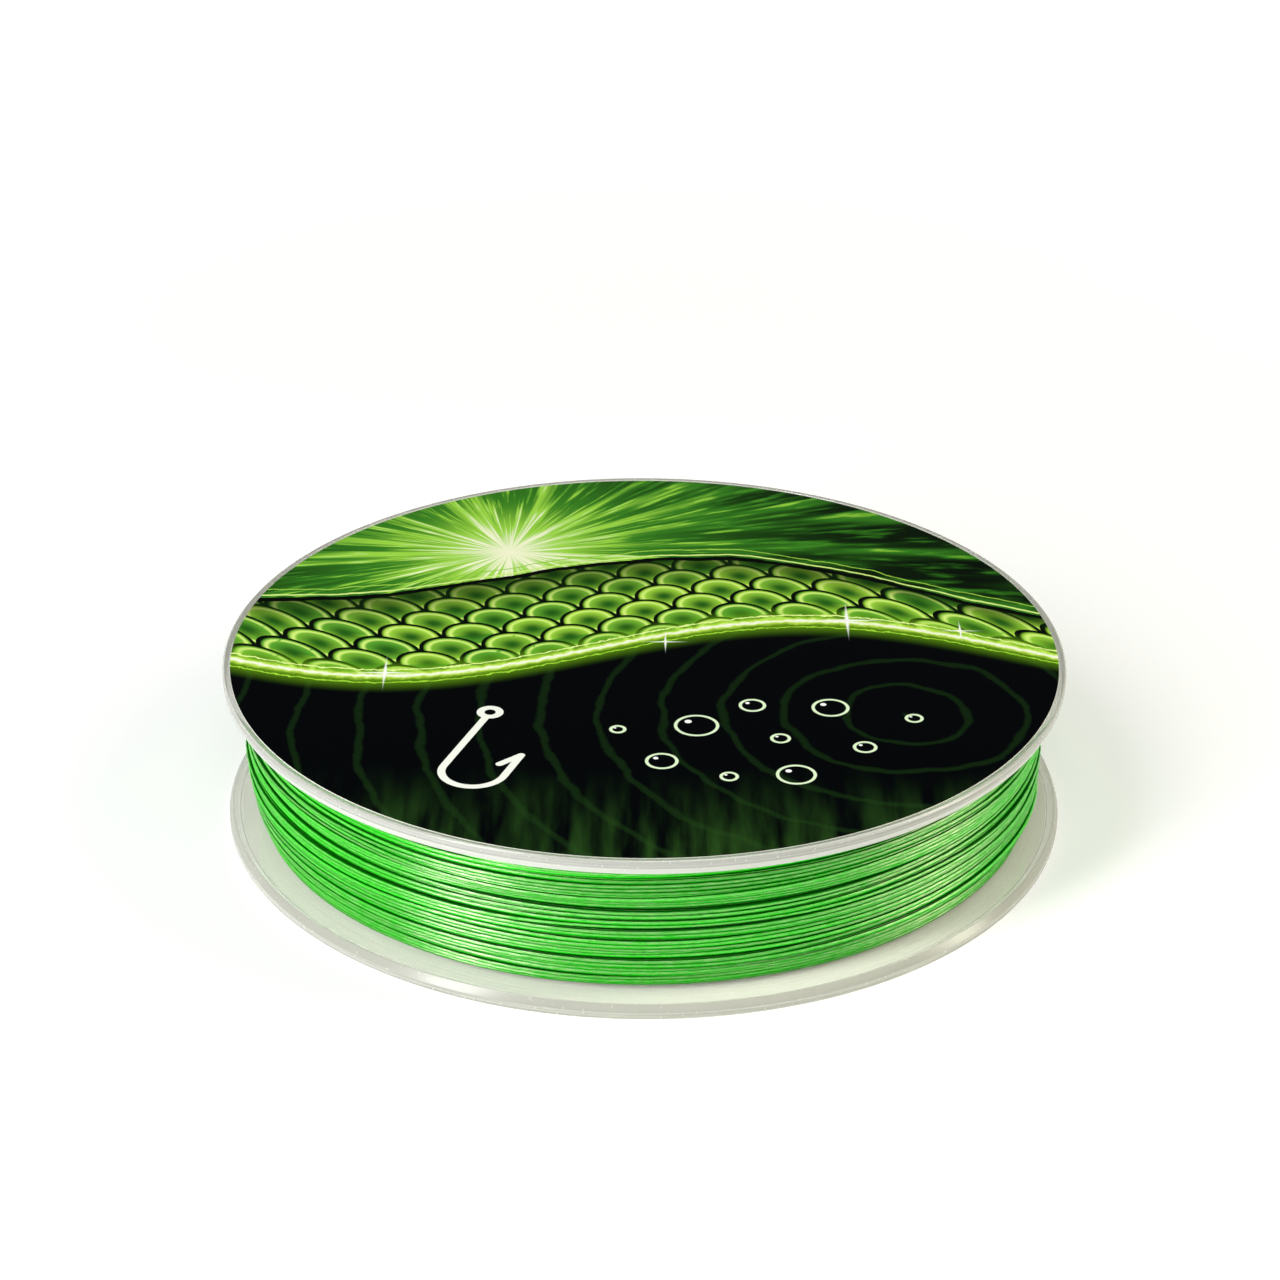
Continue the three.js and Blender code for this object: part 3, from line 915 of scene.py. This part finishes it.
def lay_line():
    """The line's centre at every station: each turn lies as low as what is wound under it lets it."""
    rng = np.random.default_rng(LAYING_SEED)
    turns = TURNS_UP * PASSES
    count = turns * STATIONS
    z = line_heights(rng, count).reshape(turns, STATIONS)
    lowest = wound_radius(z) - STRAND_T * (0.5 + LAYER_RISE * (PASSES - 1)) - SETTLING
    r = np.zeros_like(z)
    for k in range(turns):
        rest = lowest[k].copy()
        if k:
            apart = (z[:k] - z[k]) / STRAND_W
            over = r[:k] + STRAND_T * STACK_RISE * np.sqrt((1 - apart**2).clip(0, None))
            over = np.where(np.abs(apart) < 1, over, 0)
            rest = np.maximum(rest, over.max(axis=0))
        r[k] = rest
    outline = wound_radius(z) - STRAND_T / 2
    r = np.where(r > outline, outline + (r - outline) * GIVE, r).reshape(-1)
    window = np.hanning(STIFFNESS)
    window /= window.sum()
    r = np.convolve(np.pad(r, STIFFNESS // 2, "edge"), window, "valid")
    angle = LINE_END + (np.arange(count) - count) * 2 * math.pi / STATIONS
    return angle, r, z.reshape(-1)


def strand_rings(out, centre):
    """The strand's section at every station: slightly flat, with a changing roll and width."""
    rng = np.random.default_rng(SECTION_SEED)
    lean = LEAN * smooth_random(rng, len(centre), STATIONS // 5)[:, None]
    width = (1 + WIDTH_CHANGE * smooth_random(rng, len(centre), STATIONS // 4))[:, None]
    side = np.arange(STRAND_SIDES) * 2 * math.pi / STRAND_SIDES
    flat_out = np.cos(side)[None, :] * STRAND_T / 2 / width
    flat_up = np.sin(side)[None, :] * STRAND_W / 2 * width
    section_out = flat_out * np.cos(lean) - flat_up * np.sin(lean)
    section_up = flat_out * np.sin(lean) + flat_up * np.cos(lean)
    rings = centre[:, None, :] + out[:, None, :] * section_out[:, :, None]
    rings[:, :, 2] += section_up
    return rings


def tube_faces(stations, sides):
    """The quads along a tube of such rings, then its two end caps."""
    i = np.arange(stations - 1)[:, None] * sides
    k = np.arange(sides)[None, :]
    n = (k + 1) % sides
    quads = np.stack([i + k, i + k + sides, i + n + sides, i + n], -1).reshape(-1, 4)
    last = (stations - 1) * sides
    return quads.tolist() + [list(range(sides)), [last + s for s in reversed(range(sides))]]


def add_line_uv(mesh, centre):
    """The UV map that the braid's material reads: millimetres along the line, and turns round it."""
    steps = np.linalg.norm(np.diff(centre, axis=0), axis=1)
    lengths = np.concatenate([[0], np.cumsum(steps)]) / MM
    corner_u = np.stack([lengths[:-1], lengths[1:], lengths[1:], lengths[:-1]], -1)
    corner_u = np.repeat(corner_u[:, None, :], STRAND_SIDES, axis=1)
    here = np.arange(STRAND_SIDES) / STRAND_SIDES
    there = (np.arange(STRAND_SIDES) + 1) / STRAND_SIDES
    corner_v = np.stack([here, here, there, there], -1)
    corner_v = np.repeat(corner_v[None], len(steps), axis=0)
    sides = np.stack([corner_u, corner_v], -1).reshape(-1, 2)
    caps = np.zeros((2 * STRAND_SIDES, 2))
    uv = mesh.uv_layers.new(name="along")
    uv.data.foreach_set("uv", np.concatenate([sides, caps]).ravel())


def line_turns():
    """The outer turns of the line as one unbroken tube."""
    keep = SHOWN_TURNS * STATIONS
    angle, r, z = [values[-keep:] for values in lay_line()]
    out = np.stack([np.cos(angle), np.sin(angle), np.zeros(keep)], -1)
    centre = out * r[:, None]
    centre[:, 2] = z
    vertices = strand_rings(out, centre).reshape(-1, 3)
    mesh = bpy.data.meshes.new("line_turns")
    mesh.from_pydata(vertices.tolist(), [], tube_faces(keep, STRAND_SIDES))
    mesh.shade_smooth()
    mesh.materials.append(BRAID)
    add_line_uv(mesh, centre)
    return placed("line_turns", mesh)


def line_layers():
    """The layers under the outer turns, as one ring that shows only in the deepest grooves."""
    heights = np.linspace(LOWER_FACE, UPPER_FACE, LAYERS_LEVELS)
    depth = STRAND_T * (1 + LAYER_RISE * (PASSES - 1))
    outer = [(float(wound_radius(h)) - depth, float(h), 0) for h in heights]
    inner_r = ARBOR_R + LAYERS_INSIDE
    profile = [(inner_r, LOWER_FACE, 0), *outer, (inner_r, UPPER_FACE, 0)]
    return turned("line_layers", profile, BRAID, steps=LAYERS_STEPS)


# ---------------------------------------------------------------- end film
FILM_T = 0.06 * MM
FILM_LIFT = 0.01 * MM  # over the crowns it rests on
FILM_START = math.radians(90.1)  # bearings of its cut ends from +X
FILM_END = math.radians(104.9)
FILM_SEARCH = math.radians(9)  # how far round from its middle the crowns that bear it are sought
FILM_SPAN = 0.3 * MM  # how far above or below itself a crown bears it
FILM_EVENING = 5  # rows over which it bridges the grooves
FILM_ROWS, FILM_COLUMNS = 49, 41
CUT_WANDER = math.radians(0.04)  # how far its cut ends stray
CUT_SEED = 3


def grid_solid(name, outer, inner, material):
    """A closed sheet between two grids of points of the same size."""
    rows, columns = outer.shape[:2]
    back = rows * columns
    faces = []
    for i in range(rows - 1):
        for k in range(columns - 1):
            a = i * columns + k
            faces.append((a, a + 1, a + columns + 1, a + columns))
            faces.append((back + a, back + a + columns, back + a + columns + 1, back + a + 1))
    border = list(range(columns))
    border += [i * columns + columns - 1 for i in range(1, rows)]
    border += [(rows - 1) * columns + k for k in range(columns - 2, -1, -1)]
    border += [i * columns for i in range(rows - 2, 0, -1)]
    for here, there in zip(border, border[1:] + border[:1]):
        faces.append((there, here, back + here, back + there))
    vertices = np.concatenate([outer.reshape(-1, 3), inner.reshape(-1, 3)])
    return new_object(name, vertices.tolist(), faces, material)


def crown_radii(turns, heights):
    """How far out the crowns of the wound turns reach under the film, at each height."""
    points = np.array([vertex.co for vertex in turns.data.vertices])
    bearing = np.arctan2(points[:, 1], points[:, 0])
    points = points[np.abs(bearing - (FILM_START + FILM_END) / 2) < FILM_SEARCH]
    out = np.hypot(points[:, 0], points[:, 1])
    r = np.array([out[np.abs(points[:, 2] - height) < FILM_SPAN].max() for height in heights])
    window = np.full(FILM_EVENING, 1 / FILM_EVENING)
    return np.convolve(np.pad(r, FILM_EVENING // 2, "edge"), window, "valid")


def end_film(turns):
    """The film over the line's free end, pressed down onto the turns."""
    low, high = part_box("end_tape")
    z = np.linspace(low[2], high[2], FILM_ROWS)
    r = crown_radii(turns, z)[:, None] + FILM_LIFT
    cut = np.random.default_rng(CUT_SEED).uniform(-1, 1, (FILM_ROWS, 2)) * CUT_WANDER
    share = np.linspace(0, 1, FILM_COLUMNS)[None, :]
    turn = (FILM_START + cut[:, :1]) * (1 - share) + (FILM_END + cut[:, 1:]) * share
    level = np.broadcast_to(z[:, None], turn.shape)
    outer, inner = [
        np.stack([radius * np.cos(turn), radius * np.sin(turn), level], -1) for radius in (r + FILM_T, r)
    ]
    return grid_solid("end_film", outer, inner, TAPE)


# ---------------------------------------------------------------- stage
FLOOR_HALF = 1.5
FLOOR_DROP = 0.1 * MM  # the floor lies just under the rim, so that the two surfaces stay apart
FLOOR_WHITE = 0.85
FLOOR_GLOW = 0.3  # what the floor adds near the spool, to look white in the lamps' light
LIT_R, UNLIT_R = 120, 600  # between these radii the glow rises to a full white, as the lamps fade
WORLD = 0.15  # the light from all round, as a share of white


def floor_material():
    """A white floor that takes the spool's shadow. Its glow shows, but gives no diffuse light."""
    material, tree, shader = new_material("studio_floor")
    tree.nodes.remove(shader)
    diffuse = tree.nodes.new("ShaderNodeBsdfDiffuse")
    diffuse.inputs["Color"].default_value = (FLOOR_WHITE, FLOOR_WHITE, FLOOR_WHITE, 1)
    seen = seen_by(tree, "Is Camera Ray", "Is Glossy Ray", "Is Transmission Ray")
    x, y, _ = object_point(tree)
    far = length_of(x, y).step(LIT_R, UNLIT_R)
    glow = tree.nodes.new("ShaderNodeEmission")
    feed(tree, glow.inputs["Strength"], seen * (FLOOR_GLOW + (1 - FLOOR_GLOW) * far))
    both = tree.nodes.new("ShaderNodeAddShader")
    feed(tree, both.inputs[0], diffuse.outputs[0])
    feed(tree, both.inputs[1], glow.outputs[0])
    set_surface(tree, both.outputs[0])
    return material


def floor():
    mesh = bpy.data.meshes.new("floor")
    signs = [(-1, -1), (1, -1), (1, 1), (-1, 1)]
    corners = [(x * FLOOR_HALF, y * FLOOR_HALF, -FLOOR_DROP) for x, y in signs]
    mesh.from_pydata(corners, [], [(0, 1, 2, 3)])
    mesh.materials.append(floor_material())
    placed("floor", mesh)


def surroundings():
    """A white backdrop, which lights the spool only a little."""
    world = bpy.data.worlds.new("studio")
    world.use_nodes = True
    tree = world.node_tree
    background = tree.nodes["Background"]
    background.inputs["Color"].default_value = (1, 1, 1, 1)
    seen = seen_by(tree, "Is Camera Ray", "Is Transmission Ray")
    feed(tree, background.inputs["Strength"], seen * (1 - WORLD) + WORLD)
    bpy.context.scene.world = world


def direction(azimuth, elevation):
    """Out from the spool. Azimuth 0 is the camera's side, -Y, and 90 degrees is +X."""
    azimuth, elevation = math.radians(azimuth), math.radians(elevation)
    level = math.cos(elevation)
    return Vector((math.sin(azimuth) * level, -math.cos(azimuth) * level, math.sin(elevation)))


def softbox(name, azimuth, elevation, distance, size, power, colour=(1, 1, 1)):
    """An area lamp that faces the spool. The size is its width and its height."""
    data = bpy.data.lights.new(name, "AREA")
    data.shape = "RECTANGLE"
    data.size, data.size_y = size
    data.energy = power
    data.color = colour
    lamp = placed(name, data)
    out = direction(azimuth, elevation)
    lamp.location = Vector((0, 0, SPOOL_H / 2)) + out * distance
    lamp.rotation_euler = out.to_track_quat("Z", "Y").to_euler()


# The photograph's view, fitted to the ellipses of both rims.
SENSOR_WIDTH = 36  # of the camera, in millimetres, as is the focal length
FOCAL_LENGTH = 100.8
CAMERA_AIM = Vector((0, 0, 10 * MM))  # the point that the camera's place is measured from
CAMERA_DISTANCE = 431.26 * MM
CAMERA_ELEVATION = math.radians(28.092)
CAMERA_PITCH = math.radians(1.338)  # how far above that point it looks
CAMERA_YAW = math.radians(-0.081)  # and how far to the right
CAMERA_ROLL = math.radians(0.237)  # how far its right side is tilted up
NEAREST = 10 * MM  # nothing nearer to the camera than this shows


def camera():
    data = bpy.data.cameras.new("camera")
    data.sensor_width = SENSOR_WIDTH
    data.lens = FOCAL_LENGTH
    data.clip_start = NEAREST
    view = placed("camera", data)
    out = Vector((0, -math.cos(CAMERA_ELEVATION), math.sin(CAMERA_ELEVATION)))
    place = CAMERA_AIM + CAMERA_DISTANCE * out
    down = CAMERA_ELEVATION - CAMERA_PITCH
    level = math.cos(down)
    forward = Vector((math.sin(CAMERA_YAW) * level, math.cos(CAMERA_YAW) * level, -math.sin(down)))
    right = Vector((math.cos(CAMERA_YAW), -math.sin(CAMERA_YAW), 0))
    up = right.cross(forward)
    rolled_right = right * math.cos(CAMERA_ROLL) + up * math.sin(CAMERA_ROLL)
    rolled_up = up * math.cos(CAMERA_ROLL) - right * math.sin(CAMERA_ROLL)
    turn = Matrix((rolled_right, rolled_up, -forward)).transposed()
    view.matrix_world = Matrix.Translation(place) @ turn.to_4x4()
    bpy.context.scene.camera = view


camera()
floor()
surroundings()
softbox("key", azimuth=-49, elevation=26, distance=0.9, size=(0.24, 1.2), power=10.3)
softbox("right", azimuth=88, elevation=26, distance=0.9, size=(0.2, 0.9), power=5.2, colour=(1, 0.96, 0.78))
softbox("top", azimuth=8, elevation=62, distance=1.0, size=(0.5, 0.3), power=1.6)

# ---------------------------------------------------------------- pieces
turns = line_turns()
PIECES = [
    (lower_half(), "clear_plastic", "lower_half"),
    (upper_half(), "clear_plastic", "upper_half"),
    (top_label(), "top_label_print", "top_label"),
    (bottom_label(), "bottom_label_print", "bottom_label"),
    (turns, "green_braid", "line_outer_turns"),
    (line_layers(), "green_braid", "line_inner_layers"),
    (end_film(turns), "clear_tape", "end_tape"),
]
for piece, slot, node in PIECES:
    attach(piece, "root")
    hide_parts(node)

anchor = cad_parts["anchor_tape"]
anchor.data.materials.clear()
anchor.data.materials.append(TAPE)

bpy.context.scene.view_settings.view_transform = "Standard"
